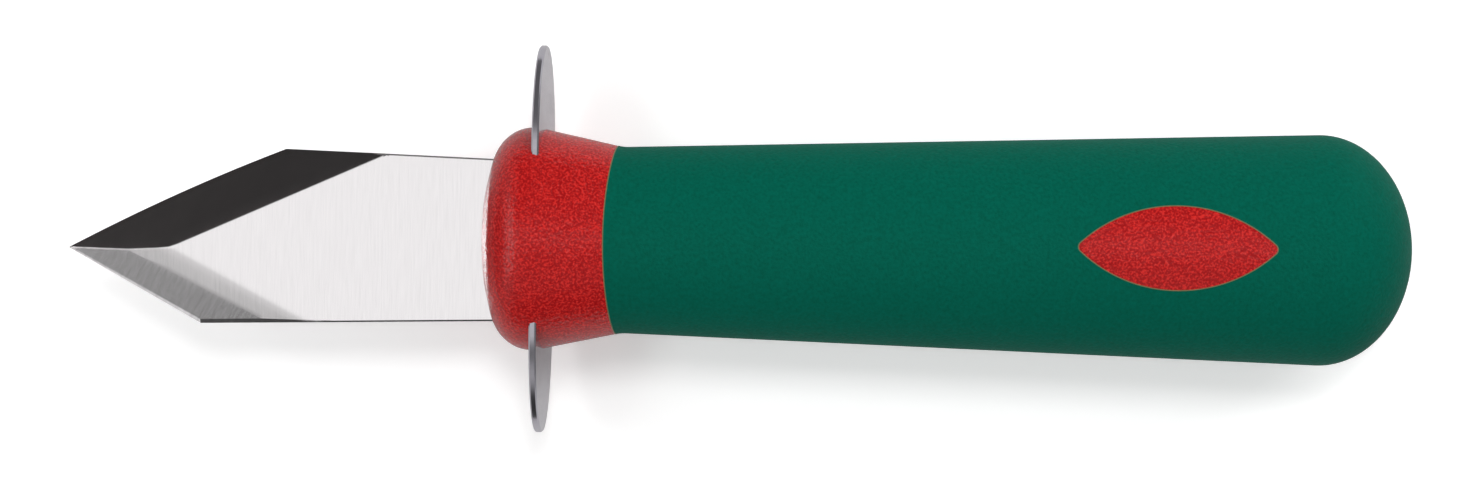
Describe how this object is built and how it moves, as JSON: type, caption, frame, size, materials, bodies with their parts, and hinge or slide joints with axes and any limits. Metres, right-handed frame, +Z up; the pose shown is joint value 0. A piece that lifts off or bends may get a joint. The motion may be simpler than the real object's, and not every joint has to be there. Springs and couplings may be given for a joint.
{
  "type": "oyster knife",
  "caption": "Short knife for opening oysters: lance-shaped ground blade, crosswise guard plate and an oval two-colour moulded handle with a rounded butt.",
  "frame": {"origin": "under the middle of the knife's overall box, on the surface that it lies on", "axes": "+X from the blade's tip to the butt, +Y across the blade towards its spine, +Z up through the blade's thickness"},
  "size_m": [0.1844, 0.0532, 0.0266],
  "materials": {
    "blade_steel": "fine ground, polished flats",
    "guard_steel": "satin sheet",
    "red_moulding": "pebble-grained moulding",
    "green_moulding": "fine-grained moulding"
  },
  "bodies": {
    "root": {"blade": "blade_steel", "guard_plate": "guard_steel", "handle_core": "red_moulding", "grip_sleeve": "green_moulding"}
  },
  "joints": []
}
